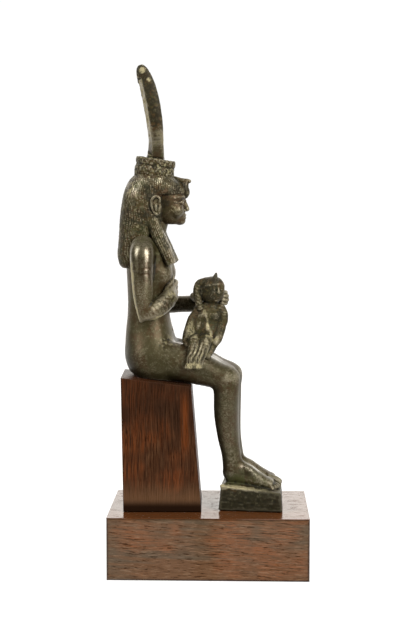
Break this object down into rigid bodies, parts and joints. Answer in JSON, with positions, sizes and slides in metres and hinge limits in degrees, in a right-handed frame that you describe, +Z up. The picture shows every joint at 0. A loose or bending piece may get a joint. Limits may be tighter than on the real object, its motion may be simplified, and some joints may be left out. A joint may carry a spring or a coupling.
{
  "type": "isis and horus figure",
  "caption": "Seated goddess in a horned crown nursing a child on her lap, a bronze casting with a footstool, on a tapered wooden seat and a wooden plinth.",
  "frame": {"origin": "middle of the plinth's underside", "axes": "+X the way the goddess faces, +Y her left, +Z up"},
  "size_m": [0.08, 0.052, 0.2029],
  "materials": {
    "bronze": "dark olive-brown bronze patina, worn bright on edges, green and red-brown corrosion in hollows",
    "seat_wood": "waxed dark hardwood, upright reddish grain",
    "plinth_wood": "polished dark hardwood, lengthwise grain with open pores"
  },
  "bodies": {
    "root": {"bronze_figure": "bronze", "seat_block": "seat_wood", "plinth": "plinth_wood"}
  },
  "joints": []
}
